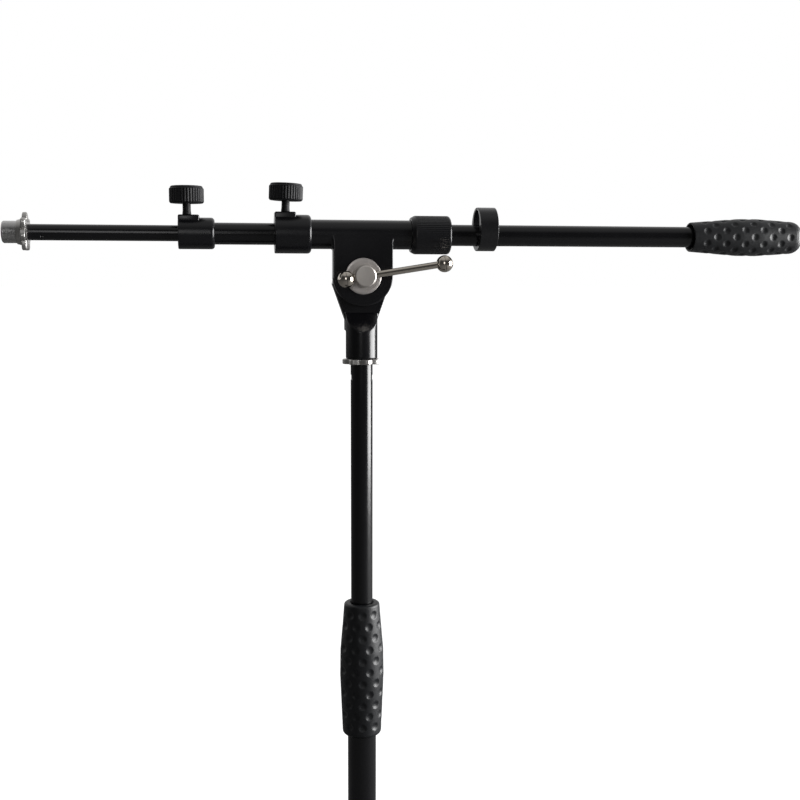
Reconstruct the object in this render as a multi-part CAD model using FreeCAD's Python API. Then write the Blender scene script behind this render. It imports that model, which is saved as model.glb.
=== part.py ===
import FreeCAD, Part
import math
import os

# Low boom microphone stand. Millimetres. The origin is on the floor, on the post's axis.
# +Z is up, the boom lies along X with its microphone end towards -X,
# and the pivot bolt's head with its sliding bar faces -Y.

V = FreeCAD.Vector

# ---- fits ----
running_gap = 0.05       # radial, a piece that turns or slides in or on another
seat_gap = 0.02          # radial, a piece that is pressed or bonded on another
face_gap = 0.2           # between flat faces of pieces that move against each other

# ---- heights ----
boom_height = 600.0      # boom axis above the floor
pivot_drop = 30.6        # pivot axis below the boom axis
socket_drop = 92.2       # lower face of the socket below the boom axis
clutch_drop = 280.7      # top of the height clutch below the boom axis
height_down = 110.0      # travel of the post down from where it stands

# ---- along the boom, from the post outwards ----
sleeve_left = 37.7       # visible sleeve, each side of the post
sleeve_right = 36.7
boom_collar_length = 26.7
boom_gap = 43.2          # boom tube seen between the two collars
extension_collar_length = 26.2
extension_gap = 104.2    # extension tube seen between its collar and the lock ring
mic_ring_length = 8.0
mic_thread_length = 9.9  # thread seen past the lock ring
sleeve_clutch_length = 29.7
clip_gap = 20.9          # boom tube seen between the sleeve clutch and the cable clip
clip_length = 13.7
grip_gap = 156.5         # boom tube seen between the cable clip and the grip
grip_length = 91.0

# ---- tubes and castings ----
extension_radius = 5.78
extension_wall = 1.0
extension_inside = 174.0  # extension tube beyond its collar, inside the boom tube
boom_radius = 7.95
boom_wall = 1.2
sleeve_clearance = 1.05  # radial, between the boom tube and the sleeve's bore
sleeve_wall = 1.8
upper_radius = 8.3
upper_wall = 1.2
lower_radius = 11.0
lower_wall = 1.2
thread_radius = 7.9375   # 5/8 inch thread
thread_depth = 0.5       # depth of the thread, so also of the relief behind it

# ---- collars and knobs ----
extension_collar_wall = 3.45
extension_boss_rise = 1.9      # flat boss above the collar's round
extension_boss_length = 15.3
extension_screw_inset = 6.4    # screw axis from the collar's outer end
boom_collar_wall = 3.35
boom_boss_rise = 1.95
boom_boss_length = 15.5
boom_screw_inset = 8.1
boss_width = 14.0
screw_radius = 2.55
screw_shown = 8.2        # screw seen between the boss and the knob
pad_height = 1.6
knob_radius = 12.5
knob_rim = 10.2
knob_crown_radius = 10.9
knob_height = 13.2
flute_count = 36
flute_radius = 0.75
sleeve_clutch_wall = 3.5
sleeve_clutch_lip = 3.4

# ---- swivel ----
ear_half_width = 22.2
ear_front = 10.0         # front face of the sleeve's ear in front of the post's axis
ear_clearance = 0.6      # between the rear ear and the sleeve above it
rear_ear_back = 10.0
tilt_limit = 75.0        # how far the boom tilts each way from level
friction_disc_inset = 2.2
friction_disc_thickness = 1.0
socket_wall = 3.96
socket_shoulder_drop = 32.9   # top of the round socket below the pivot
socket_flat_drop = 40.9       # end of the ear's flat below the pivot
socket_bore_depth = 24.0
bolt_radius = 3.95
bolt_head_radius = 7.85
bolt_head_length = 14.4
bolt_flange_radius = 8.7
bolt_flange_length = 1.8
washer_radius = 13.4
washer_thickness = 1.8
bar_radius = 2.5
bar_inset = 4.7          # bar axis behind the bolt head's front face
bar_slope = 9.0          # degrees
bar_past_ball = 2.0      # the bar's ends reach past the balls' centres
ball_radius = 6.25
ball_spacing = 73.3
ball_gap = 0.3           # between the left ball and the bolt head
nut_across_flats = 13.0
nut_thickness = 6.5
nut_sunk = 3.0
bolt_past_nut = 1.5

# ---- lock rings, thread stud ----
star_lobes = 7
scallop_share = 0.5      # scallop radius as a share of the lobe spacing
mic_star_radius = 14.1
mic_flange_radius = 9.3
mic_flange_length = 3.8
post_star_radius = 14.5
post_ring_thickness = 3.9
stud_shoulder = 4.0
stud_spigot = 24.0
mic_spigot = 20.0

# ---- cable clip and grips ----
clip_saddle = 3.75       # clip under the boom tube
clip_height = 13.05      # clip above the boom tube
clip_wall = 2.0
clip_cable_radius = 10.0
clip_slit = 3.0
weight_wall = 3.05
weight_end_wall = 4.0
mouth_rubber = 0.3       # rubber outside the counterweight's radius at the grip's mouth
grip_rubber = 3.4        # at its fullest
end_rubber = 2.5         # at its end
grip_end_round = 8.0
grip_recess = 5.0
rubber_end = 5.0

# ---- height clutch ----
clutch_length = 105.0
clutch_housing_wall = 1.25
clutch_top_rubber = 0.95
clutch_grip_rubber = 4.7
clutch_foot_rubber = 2.7
clutch_lip = 3.0
collet_height = 20.0
collet_spigot = 15.0
collet_slit = 1.6
foot_bush_height = 16.0

# ---- base ----
base_radius = 129.0
base_underside = 3.0
base_rim_height = 8.0
base_hub_wall = 6.0
base_hub_top = 42.0
base_crown = 22.0        # top of the dish beside the hub
base_floor = 12.0        # underside of the middle, above the bolt head's recess
base_recess_radius = 22.0
ring_width = 12.0
ring_outside = 3.0
plug_height = 22.0
base_bolt_radius = 4.0
base_bolt_head = 5.5
base_washer_thickness = 1.6
base_washer_radius = 9.0

# ---- sizes and places that follow ----
boom_inner = boom_radius - boom_wall
extension_inner = extension_radius - extension_wall
upper_inner = upper_radius - upper_wall
lower_inner = lower_radius - lower_wall
sleeve_bore = boom_radius + sleeve_clearance
sleeve_radius = sleeve_bore + sleeve_wall
extension_collar_radius = boom_radius + extension_collar_wall
extension_boss_top = extension_collar_radius + extension_boss_rise
boom_collar_radius = sleeve_radius + boom_collar_wall
boom_boss_top = boom_collar_radius + boom_boss_rise
sleeve_clutch_radius = sleeve_radius + sleeve_clutch_wall
socket_radius = thread_radius + socket_wall
rear_ear_radius = pivot_drop - sleeve_radius - ear_clearance
friction_disc_radius = rear_ear_radius - friction_disc_inset
clip_radius = boom_radius + (clip_saddle + clip_height) / 2
clip_rise = (clip_height - clip_saddle) / 2      # clip's outer circle above the boom axis
clip_cable_rise = clip_rise + clip_radius - clip_wall - clip_cable_radius
weight_radius = boom_radius + weight_wall
clutch_housing_radius = lower_radius + running_gap + clutch_housing_wall
base_hub_radius = lower_radius + base_hub_wall

pivot_height = boom_height - pivot_drop
socket_bottom = boom_height - socket_drop
upper_top = socket_bottom - post_ring_thickness - face_gap
clutch_top = boom_height - clutch_drop
lower_top = clutch_top - clutch_lip - face_gap - collet_height
lower_bottom = base_crown
plug_top = lower_bottom + plug_height
upper_bottom = plug_top + height_down + 2.0

boom_collar_left = -(sleeve_left + boom_collar_length)
extension_collar_right = boom_collar_left - boom_gap
extension_collar_left = extension_collar_right - extension_collar_length
mic_ring_right = extension_collar_left - extension_gap
mic_ring_left = mic_ring_right - mic_ring_length
mic_end = mic_ring_left - mic_thread_length
sleeve_clutch_right = sleeve_right + sleeve_clutch_length
clip_left = sleeve_clutch_right + clip_gap
clip_right = clip_left + clip_length
grip_left = clip_right + grip_gap
grip_right = grip_left + grip_length

boom_left = extension_collar_left + extension_screw_inset + screw_radius + 3.5
boom_right = grip_right - rubber_end - weight_end_wall
sleeve_start = boom_collar_left + boom_screw_inset + screw_radius + 3.0
sleeve_end = sleeve_clutch_right - sleeve_clutch_lip - 5.0
extension_right = extension_collar_left + extension_inside
extension_screw_x = extension_collar_left + extension_screw_inset
boom_screw_x = boom_collar_left + boom_screw_inset

bolt_base = ear_front + washer_thickness + running_gap   # bolt head's seat in front of the post's axis
bolt_face = bolt_base + bolt_head_length
left_ball = -(bolt_head_radius + math.sqrt(ball_radius ** 2 - bar_radius ** 2) + ball_gap)
right_ball = left_ball + ball_spacing
bar_left = left_ball - bar_past_ball
bar_right = right_ball + bar_past_ball
nut_face = nut_sunk - rear_ear_back

boom_axis = FreeCAD.Placement(V(0, 0, boom_height), FreeCAD.Rotation(V(0, 0, 1), V(1, 0, 0)))
post_axis = FreeCAD.Placement()
pivot_axis = FreeCAD.Placement(V(0, 0, pivot_height), FreeCAD.Rotation(V(0, 0, 1), V(0, -1, 0)))
bar_slope_angle = math.radians(bar_slope)
bar_direction = V(math.cos(bar_slope_angle), 0, math.sin(bar_slope_angle))
bar_axis = FreeCAD.Placement(V(0, bar_inset - bolt_face, pivot_height),
                             FreeCAD.Rotation(V(0, 0, 1), bar_direction))


# ---- shapes ----
def upright(x):
    """Place for a piece turned about a vertical axis that crosses the boom axis at x."""
    return FreeCAD.Placement(V(x, 0, boom_height), FreeCAD.Rotation())


def outline(corners):
    """Closed wire in XZ through corners (u, v) or (u, v, rounding)."""
    places = [V(corner[0], 0, corner[1]) for corner in corners]
    starts = []
    ends = []
    arcs = []
    for i, place in enumerate(places):
        rounding = corners[i][2] if len(corners[i]) > 2 else 0.0
        before = (places[i - 1] - place).normalize()
        after = (places[(i + 1) % len(places)] - place).normalize()
        half = before.getAngle(after) / 2
        reach = rounding / math.tan(half)
        starts.append(place + before * reach)
        ends.append(place + after * reach)
        if rounding:
            middle = place + (before + after).normalize() * (rounding / math.sin(half) - rounding)
            arcs.append(Part.Arc(starts[i], middle, ends[i]).toShape())
        else:
            arcs.append(None)
    edges = []
    for i in range(len(places)):
        if arcs[i]:
            edges.append(arcs[i])
        following = starts[(i + 1) % len(places)]
        if ends[i].distanceToPoint(following) > 1e-6:
            edges.append(Part.LineSegment(ends[i], following).toShape())
    return Part.Wire(edges)


def turned(corners, place):
    """Solid of revolution: corners are (radius, distance along the axis, rounding)."""
    solid = Part.Face(outline(corners)).revolve(V(0, 0, 0), V(0, 0, 1), 360)
    return solid.transformed(place.toMatrix())


def pipe(outer, inner, start, end, place):
    """Tube between two stations of an axis."""
    return turned([(inner, start), (outer, start), (outer, end), (inner, end)], place)


def rod(radius, start, end, place):
    """Solid cylinder between two stations of an axis."""
    cylinder = Part.makeCylinder(radius, end - start, V(0, 0, start))
    return cylinder.transformed(place.toMatrix())


def block(low, high):
    """Box between two corners."""
    size = V(*high) - V(*low)
    return Part.makeBox(size.x, size.y, size.z, V(*low))


def star(radius, lobes, start, end, place):
    """Disc with rounded lobes: scallops cut into its edge."""
    disc = rod(radius, start, end, FreeCAD.Placement())
    scallop = radius * math.sin(math.pi / lobes) * scallop_share
    for i in range(lobes):
        angle = 2 * math.pi * (i + 0.5) / lobes
        centre = V(math.cos(angle), math.sin(angle), 0) * (radius * 1.02)
        disc = disc.cut(Part.makeCylinder(scallop, end - start, centre + V(0, 0, start)))
    return disc.transformed(place.toMatrix())


def hexagon(across_flats, start, end, place):
    """Hexagonal prism between two stations of an axis."""
    reach = across_flats / math.sqrt(3)
    angles = [math.pi / 3 * i for i in range(7)]
    points = [V(reach * math.cos(a), reach * math.sin(a), start) for a in angles]
    prism = Part.Face(Part.makePolygon(points)).extrude(V(0, 0, end - start))
    return prism.transformed(place.toMatrix())


def save(name, shape):
    """One STEP file per named piece."""
    solid = shape.Solids[0] if len(shape.Solids) == 1 else shape
    solid.exportStep("parts/" + name + ".step")


# ---- base ----
def base_plate():
    """Dished round casting with a hub that holds the lower tube."""
    rim_top = base_underside + base_rim_height
    return turned([
        (base_bolt_radius + 0.4, base_floor),
        (base_recess_radius, base_floor, 2.0),
        (base_recess_radius, base_underside, 1.0),
        (base_radius, base_underside),
        (base_radius, rim_top, 4.0),
        (base_hub_radius + 22.0, base_crown, 40.0),
        (base_hub_radius, base_crown + 2.0, 4.0),
        (base_hub_radius - 1.0, base_hub_top, 2.0),
        (lower_radius + seat_gap, base_hub_top),
        (lower_radius + seat_gap, lower_bottom),
        (base_bolt_radius + 0.4, lower_bottom),
    ], post_axis)


def base_ring():
    """Rubber ring that grips the rim and stands on the floor."""
    inner = base_radius - ring_width
    outer = base_radius + ring_outside
    rim = base_radius + seat_gap
    return turned([
        (inner, 0, 1.0),
        (outer, 0, 1.5),
        (outer, base_underside + 4.0, 1.5),
        (rim, base_underside + 4.0),
        (rim, base_underside),
        (inner, base_underside),
    ], post_axis)


def base_bolt():
    """Hexagon bolt from below into the lower tube's plug."""
    head_top = base_floor - base_washer_thickness
    head = hexagon(13.0, head_top - base_bolt_head, head_top, post_axis)
    return head.fuse(rod(base_bolt_radius, head_top - 1.0, plug_top - 3.0, post_axis)).removeSplitter()


# ---- post ----
def upper_stud():
    """Threaded insert in the top of the upper tube."""
    thread_top = socket_bottom + socket_bore_depth - 3.0
    return turned([
        (0, upper_top - stud_spigot),
        (upper_inner - seat_gap, upper_top - stud_spigot, 1.0),
        (upper_inner - seat_gap, upper_top),
        (thread_radius, upper_top, 0.3),
        (thread_radius, thread_top, 1.0),
        (0, thread_top),
    ], post_axis)


def clutch_collet():
    """Slit plastic collet fixed in the top of the lower tube."""
    bore = upper_radius + running_gap
    top = lower_top + collet_height
    collet = turned([
        (bore, lower_top - collet_spigot),
        (lower_inner - seat_gap, lower_top - collet_spigot),
        (lower_inner - seat_gap, lower_top),
        (lower_radius, lower_top),
        (lower_radius, top - 5.0),
        (lower_radius - 0.8, top),
        (bore, top),
    ], post_axis)
    reach = lower_radius + 1.0
    half = collet_slit / 2
    for low, high in (((-reach, -half), (reach, half)), ((-half, -reach), (half, reach))):
        slit = block((low[0], low[1], lower_top + 5.0), (high[0], high[1], top + 1.0))
        collet = collet.cut(slit)
    return collet


def clutch_housing():
    """Turned shell that squeezes the collet when it is twisted."""
    bore = lower_radius + running_gap
    bottom = clutch_top - clutch_length + clutch_lip
    top = clutch_top - clutch_lip
    return turned([
        (bore, bottom),
        (clutch_housing_radius, bottom),
        (clutch_housing_radius, top + 1.5),
        (upper_radius + 0.4, top + 1.5),
        (upper_radius + 0.4, top),
        (bore, top),
    ], post_axis)


def clutch_grip():
    """Rubber sleeve bonded on the clutch housing, waisted at its top."""
    bottom = clutch_top - clutch_length
    bore = clutch_housing_radius + seat_gap
    neck = clutch_housing_radius + clutch_top_rubber
    return turned([
        (lower_radius + 0.4, bottom),
        (clutch_housing_radius + clutch_foot_rubber, bottom, 3.0),
        (clutch_housing_radius + clutch_grip_rubber, bottom + clutch_length * 0.5, 60.0),
        (neck + 0.3, clutch_top - 9.0, 30.0),
        (neck, clutch_top, 2.0),
        (upper_radius + 0.7, clutch_top, 0.8),
        (upper_radius + 0.7, clutch_top - clutch_lip + 1.5 + seat_gap),
        (bore, clutch_top - clutch_lip + 1.5 + seat_gap),
        (bore, bottom + clutch_lip - seat_gap),
        (lower_radius + 0.4, bottom + clutch_lip - seat_gap),
    ], post_axis)


# ---- swivel ----
def swivel_sleeve():
    """Casting: the boom's sleeve with the front ear of the half-lap swivel."""
    wide = ear_half_width
    back = -(friction_disc_thickness / 2 + face_gap)
    right = V(wide, 0, pivot_height)
    left = V(-wide, 0, pivot_height)
    ear = Part.Wire([
        Part.LineSegment(V(-wide, 0, boom_height), V(wide, 0, boom_height)).toShape(),
        Part.LineSegment(V(wide, 0, boom_height), right).toShape(),
        Part.Arc(right, V(0, 0, pivot_height - wide), left).toShape(),
        Part.LineSegment(left, V(-wide, 0, boom_height)).toShape(),
    ])
    ear.translate(V(0, -ear_front, 0))
    plate = Part.Face(ear).extrude(V(0, ear_front + back, 0))
    front_edges = [
        edge for edge in plate.Edges
        if edge.BoundBox.YMax < 0.1 - ear_front and edge.BoundBox.ZMin < boom_height - 1.0
    ]
    plate = plate.makeFillet(1.0, front_edges)
    tube = rod(sleeve_radius, sleeve_start, sleeve_end, boom_axis)
    casting = tube.fuse(plate)
    casting = casting.cut(rod(sleeve_bore, sleeve_start - 1, sleeve_end + 1, boom_axis))
    return casting.cut(rod(bolt_radius + running_gap, -1, ear_front + 1, pivot_axis))


def swivel_socket():
    """Casting: the rear ear, running down into the round socket on the post's thread."""
    front = friction_disc_thickness / 2
    shoulder = V(socket_radius, 0, -socket_shoulder_drop)
    foot = V(socket_radius, 0, -socket_flat_drop)
    # The top is round. Past the tilt limit a flat runs out to the full width, clear of the sleeve.
    limit = math.radians(90 - tilt_limit)
    corner = limit - math.acos(rear_ear_radius / ear_half_width)
    tangent = math.atan2(shoulder.z, shoulder.x) + math.acos(ear_half_width / shoulder.Length)
    ear_points = [(rear_ear_radius, limit), (ear_half_width, corner),
                  (ear_half_width, (corner + tangent) / 2), (ear_half_width, tangent)]
    right = [V(math.cos(angle), 0, math.sin(angle)) * radius for radius, angle in ear_points]
    right += [shoulder, foot]
    left = [V(-p.x, 0, p.z) for p in right]
    outline = [Part.Arc(left[0], V(0, 0, rear_ear_radius), right[0]), Part.LineSegment(foot, left[5])]
    for side in (right, left):
        outline.append(Part.LineSegment(side[0], side[1]))
        outline.append(Part.Arc(side[1], side[2], side[3]))
        outline.append(Part.LineSegment(side[3], side[4]))
        outline.append(Part.LineSegment(side[4], side[5]))
    edges = Part.__sortEdges__([line.toShape() for line in outline])
    plate = Part.Face(Part.Wire(edges)).extrude(V(0, rear_ear_back - front, 0))
    plate.translate(V(0, front, pivot_height))
    top = pivot_height - socket_shoulder_drop + 2.0
    barrel = turned([
        (0, socket_bottom), (socket_radius, socket_bottom, 0.6),
        (socket_radius, top, 2.0), (0, top),
    ], post_axis)
    lap_radius = socket_radius + 0.4
    flat_centre = pivot_height - socket_flat_drop + lap_radius
    reach = 2 * socket_radius
    lap = Part.makeCylinder(lap_radius, reach + front, V(0, -reach, flat_centre), V(0, 1, 0))
    casting = barrel.cut(lap).fuse(plate)
    bore_top = socket_bottom + socket_bore_depth
    casting = casting.cut(rod(thread_radius + seat_gap, socket_bottom - 1, bore_top, post_axis))
    casting = casting.cut(rod(bolt_radius + running_gap, -rear_ear_back - 1, 1, pivot_axis))
    pocket = hexagon(nut_across_flats + 0.1, -rear_ear_back - 1, nut_face, pivot_axis)
    return casting.cut(pocket).removeSplitter()


def pivot_bolt():
    """Bolt whose cross-drilled head takes the sliding bar."""
    tip = nut_face - nut_thickness - bolt_past_nut
    bolt = turned([
        (0, tip),
        (bolt_radius, tip, 0.8),
        (bolt_radius, bolt_base),
        (bolt_flange_radius, bolt_base, 0.4),
        (bolt_flange_radius, bolt_base + bolt_flange_length, 0.6),
        (bolt_head_radius, bolt_base + bolt_flange_length, 0.5),
        (bolt_head_radius, bolt_face, 0.9),
        (0, bolt_face),
    ], pivot_axis)
    reach = 2 * bolt_head_radius
    return bolt.cut(rod(bar_radius + running_gap, -reach, reach, bar_axis))


def pivot_nut():
    """Hexagon nut held in the pocket of the rear ear."""
    nut = hexagon(nut_across_flats, nut_face - nut_thickness, nut_face, pivot_axis)
    reach = nut_thickness - nut_face + 1
    return nut.cut(rod(bolt_radius + running_gap, -reach, 0, pivot_axis))


def ball(station):
    """Ball driven on one end of the bar."""
    sphere = Part.makeSphere(ball_radius, V(0, 0, station)).transformed(bar_axis.toMatrix())
    return sphere.cut(rod(bar_radius + seat_gap, bar_left, bar_right, bar_axis))


# ---- collars, knobs and clutch ring on the boom ----
def collar(left, right, radius, boss_top, boss_length, inner_left, step, inner_right, screw_x):
    """Plastic collar with a flat boss on top for its clamp screw."""
    body = turned([
        (inner_left, left), (radius, left, 0.5), (radius, right, 2.6),
        (inner_right, right), (inner_right, step), (inner_left, step),
    ], boom_axis)
    half = boss_width / 2
    boss = block((left, -half, boom_height), (left + boss_length, half, boom_height + boss_top))
    upright_edges = [edge for edge in boss.Edges if edge.BoundBox.ZLength > 1 and edge.BoundBox.XMin > left]
    boss = boss.makeFillet(2.0, upright_edges)
    boss = boss.cut(rod(inner_left, left - 1, left + boss_length + 1, boom_axis))
    boss = boss.cut(rod(inner_right, step, right, boom_axis))
    hole = rod(screw_radius + running_gap, 0, boss_top + 1, upright(screw_x))
    return body.fuse(boss).removeSplitter().cut(hole)


def knob_cap(boss_top, screw_x):
    """Fluted plastic knob moulded on its screw."""
    low = boss_top + screw_shown
    place = upright(screw_x)
    cap = turned([
        (screw_radius + seat_gap, low), (knob_radius - 0.8, low, 0.8),
        (knob_radius, low + 1.0, 0.4), (knob_radius, low + knob_rim, 1.0),
        (knob_crown_radius, low + knob_rim, 0.3),
        (knob_crown_radius, low + knob_height - 0.5, 1.0),
        (0, low + knob_height), (0, low + knob_rim - 2.0),
        (screw_radius + seat_gap, low + knob_rim - 2.0),
    ], place)
    for i in range(flute_count):
        angle = 2 * math.pi * i / flute_count
        centre = V(math.cos(angle), math.sin(angle), 0) * (knob_radius + flute_radius * 0.35)
        groove = Part.makeCylinder(flute_radius, knob_rim - 2.4, centre + V(screw_x, 0, boom_height + low + 1.2))
        cap = cap.cut(groove)
    return cap


def knob_screw(boss_top, tube_radius, screw_x):
    """Clamp screw: its head end is moulded in the knob, its tip presses the pad."""
    tip = tube_radius + running_gap + pad_height + face_gap / 2
    return turned([
        (0, tip), (screw_radius, tip, 0.5),
        (screw_radius, boss_top + screw_shown + knob_rim - 2.0), (0, boss_top + screw_shown + knob_rim - 2.0),
    ], upright(screw_x))


def knob_pad(tube_radius, screw_x):
    """Nylon pad between the screw and the tube."""
    start = tube_radius + running_gap
    return rod(screw_radius, start, start + pad_height, upright(screw_x))


def sleeve_clutch_ring():
    """Ribbed ring that closes the sleeve's collet on the boom tube."""
    bore = sleeve_radius + running_gap
    lip = sleeve_clutch_right - sleeve_clutch_lip
    return turned([
        (bore, sleeve_right), (sleeve_clutch_radius - 1.6, sleeve_right, 0.6),
        (sleeve_clutch_radius, sleeve_right + 3.0, 2.5), (sleeve_clutch_radius, sleeve_clutch_right, 2.2),
        (boom_radius + 0.35, sleeve_clutch_right), (boom_radius + 0.35, lip), (bore, lip),
    ], boom_axis)


def sleeve_collet():
    """Split plastic ring between the sleeve's end and the clutch ring's lip."""
    end = sleeve_clutch_right - sleeve_clutch_lip - face_gap
    ring = pipe(sleeve_radius - 0.3, boom_radius + running_gap, sleeve_end, end, boom_axis)
    return ring.cut(block((sleeve_end - 1, -0.8, boom_height - 20), (end + 1, 0.8, boom_height)))


# ---- cable clip, counterweight and grip ----
def cable_clip():
    """Plastic loop that slides on the boom tube, with room for a cable above it."""
    rise = FreeCAD.Placement(V(0, 0, boom_height + clip_rise), boom_axis.Rotation)
    cable = FreeCAD.Placement(V(0, 0, boom_height + clip_cable_rise), boom_axis.Rotation)
    clip = rod(clip_radius, clip_left, clip_right, rise)
    clip = clip.makeFillet(0.8, [e for e in clip.Edges if e.BoundBox.XLength < 0.01])
    clip = clip.cut(rod(boom_radius + running_gap, clip_left - 1, clip_right + 1, boom_axis))
    clip = clip.cut(rod(clip_cable_radius, clip_left - 1, clip_right + 1, cable))
    slit_low = boom_height + clip_cable_rise
    slit = block((clip_left - 1, -clip_slit / 2, slit_low),
                 (clip_right + 1, clip_slit / 2, slit_low + 2 * clip_radius))
    return clip.cut(slit)


def counterweight():
    """Steel sleeve, closed at its end, pressed on the end of the boom tube."""
    start = grip_left + grip_recess + 3.0
    end = grip_right - rubber_end
    return turned([
        (boom_radius + seat_gap, start), (weight_radius, start, 0.8), (weight_radius, end, 1.5),
        (0, end), (0, boom_right), (boom_radius + seat_gap, boom_right),
    ], boom_axis)


def boom_grip():
    """Rubber cover of the counterweight: waisted mouth, fuller middle, rounded end."""
    weight_start = grip_left + grip_recess + 3.0 - seat_gap
    weight_end = grip_right - rubber_end + seat_gap
    bore = weight_radius + seat_gap
    mouth = weight_radius + mouth_rubber
    full = weight_radius + grip_rubber
    return turned([
        (boom_radius + seat_gap, grip_left + grip_recess),
        (mouth - 1.2, grip_left, 0.4),
        (mouth, grip_left, 0.4),
        (full - 0.1, grip_left + grip_length * 0.42, 60.0),
        (full, grip_left + grip_length * 0.6, 30.0),
        (weight_radius + end_rubber, grip_right, grip_end_round),
        (0, grip_right),
        (0, weight_end),
        (bore, weight_end),
        (bore, weight_start),
        (boom_radius + seat_gap, weight_start),
    ], boom_axis)


# ---- microphone end ----
def mic_thread_end():
    """Turned stud: thread outside, relieved neck in the ring, spigot inside the extension tube."""
    neck_radius = thread_radius - thread_depth
    return turned([
        (0, mic_end),
        (thread_radius, mic_end, 1.2),
        (thread_radius, mic_ring_left),
        (neck_radius, mic_ring_left),
        (neck_radius, mic_ring_right, 0.4),
        (extension_inner - seat_gap, mic_ring_right),
        (extension_inner - seat_gap, mic_ring_right + mic_spigot, 0.8),
        (0, mic_ring_right + mic_spigot),
    ], boom_axis)


def mic_lock_ring():
    """Cast star ring on the microphone thread."""
    flange_end = mic_ring_left + mic_flange_length
    flange = rod(mic_flange_radius, mic_ring_left, flange_end + 0.5, boom_axis)
    ring = flange.fuse(star(mic_star_radius, star_lobes, flange_end, mic_ring_right - face_gap, boom_axis))
    bore = thread_radius - thread_depth + running_gap
    return ring.cut(rod(bore, mic_ring_left - 1, mic_ring_right + 1, boom_axis))


def post_lock_ring():
    """Cast star ring that locks the socket on the post's thread."""
    low = upper_top + face_gap / 2
    high = socket_bottom - face_gap / 2
    ring = star(post_star_radius, star_lobes, low, high, post_axis)
    return ring.cut(rod(thread_radius + running_gap, low - 1, high + 1, post_axis))


def extension_bush():
    """Guide bush on the inner end of the extension tube."""
    return pipe(boom_inner - running_gap, extension_radius + seat_gap,
                extension_right - 15.0, extension_right, boom_axis)


os.makedirs("parts", exist_ok=True)

save("base_plate", base_plate())
save("base_ring", base_ring())
save("base_bolt", base_bolt())
save("base_washer", pipe(base_washer_radius, base_bolt_radius + 0.3,
                         base_floor - base_washer_thickness, base_floor, post_axis))
save("lower_tube_plug", pipe(lower_inner - seat_gap, base_bolt_radius + seat_gap,
                             lower_bottom, plug_top, post_axis))
save("lower_tube", pipe(lower_radius, lower_inner, lower_bottom, lower_top, post_axis))
save("clutch_collet", clutch_collet())
save("clutch_housing", clutch_housing())
save("clutch_grip", clutch_grip())
save("post_foot_bush", pipe(lower_inner - running_gap, upper_radius + running_gap,
                            upper_bottom, upper_bottom + foot_bush_height, post_axis))
save("upper_tube", pipe(upper_radius, upper_inner, upper_bottom, upper_top, post_axis))
save("upper_stud", upper_stud())
save("post_lock_ring", post_lock_ring())
save("swivel_socket", swivel_socket())
save("friction_disc", pipe(friction_disc_radius, bolt_radius + running_gap,
                           -friction_disc_thickness / 2, friction_disc_thickness / 2, pivot_axis))
save("pivot_nut", pivot_nut())
save("pivot_bolt", pivot_bolt())
save("t_bar", rod(bar_radius, bar_left, bar_right, bar_axis))
save("t_bar_left_ball", ball(left_ball))
save("t_bar_right_ball", ball(right_ball))
save("pivot_washer", pipe(washer_radius, bolt_radius + running_gap, ear_front,
                          ear_front + washer_thickness, pivot_axis))
save("swivel_sleeve", swivel_sleeve())
save("boom_collar", collar(boom_collar_left, -sleeve_left, boom_collar_radius, boom_boss_top,
                           boom_boss_length, boom_radius + running_gap, sleeve_start,
                           sleeve_radius + seat_gap, boom_screw_x))
save("boom_knob", knob_cap(boom_boss_top, boom_screw_x))
save("boom_knob_screw", knob_screw(boom_boss_top, boom_radius, boom_screw_x))
save("boom_knob_pad", knob_pad(boom_radius, boom_screw_x))
save("sleeve_clutch_ring", sleeve_clutch_ring())
save("sleeve_collet", sleeve_collet())
save("boom_tube", pipe(boom_radius, boom_inner, boom_left, boom_right, boom_axis))
save("extension_collar", collar(extension_collar_left, extension_collar_right, extension_collar_radius,
                                extension_boss_top, extension_boss_length,
                                extension_radius + running_gap, boom_left,
                                boom_radius + seat_gap, extension_screw_x))
save("extension_knob", knob_cap(extension_boss_top, extension_screw_x))
save("extension_knob_screw", knob_screw(extension_boss_top, extension_radius, extension_screw_x))
save("extension_knob_pad", knob_pad(extension_radius, extension_screw_x))
save("extension_tube", pipe(extension_radius, extension_inner, mic_ring_right, extension_right, boom_axis))
save("extension_bush", extension_bush())
save("mic_thread_end", mic_thread_end())
save("mic_lock_ring", mic_lock_ring())
save("cable_clip", cable_clip())
save("counterweight", counterweight())
save("boom_grip", boom_grip())
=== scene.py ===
import math
import bpy
from mathutils import Matrix, Vector


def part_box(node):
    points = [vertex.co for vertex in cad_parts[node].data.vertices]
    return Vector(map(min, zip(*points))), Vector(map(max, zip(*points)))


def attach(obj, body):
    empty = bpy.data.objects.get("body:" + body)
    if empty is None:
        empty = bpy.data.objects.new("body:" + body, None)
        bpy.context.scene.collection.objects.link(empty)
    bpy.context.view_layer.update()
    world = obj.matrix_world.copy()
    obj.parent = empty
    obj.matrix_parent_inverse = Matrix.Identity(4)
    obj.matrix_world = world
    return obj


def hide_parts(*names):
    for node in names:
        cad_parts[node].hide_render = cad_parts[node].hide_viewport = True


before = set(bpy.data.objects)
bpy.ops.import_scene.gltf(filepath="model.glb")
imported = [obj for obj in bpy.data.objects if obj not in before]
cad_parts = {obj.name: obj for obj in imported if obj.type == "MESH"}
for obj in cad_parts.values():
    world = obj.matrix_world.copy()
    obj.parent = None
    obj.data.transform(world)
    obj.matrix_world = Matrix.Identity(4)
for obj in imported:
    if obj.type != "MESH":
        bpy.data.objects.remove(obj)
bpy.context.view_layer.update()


# ---- base ----
# A heavy round iron casting, dished on top, with a hub for the post's lower tube.
# It is shot-blasted and powder coated black, so its skin is slightly pebbled.
mm = 0.001
upright = Matrix.Identity(4)


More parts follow.
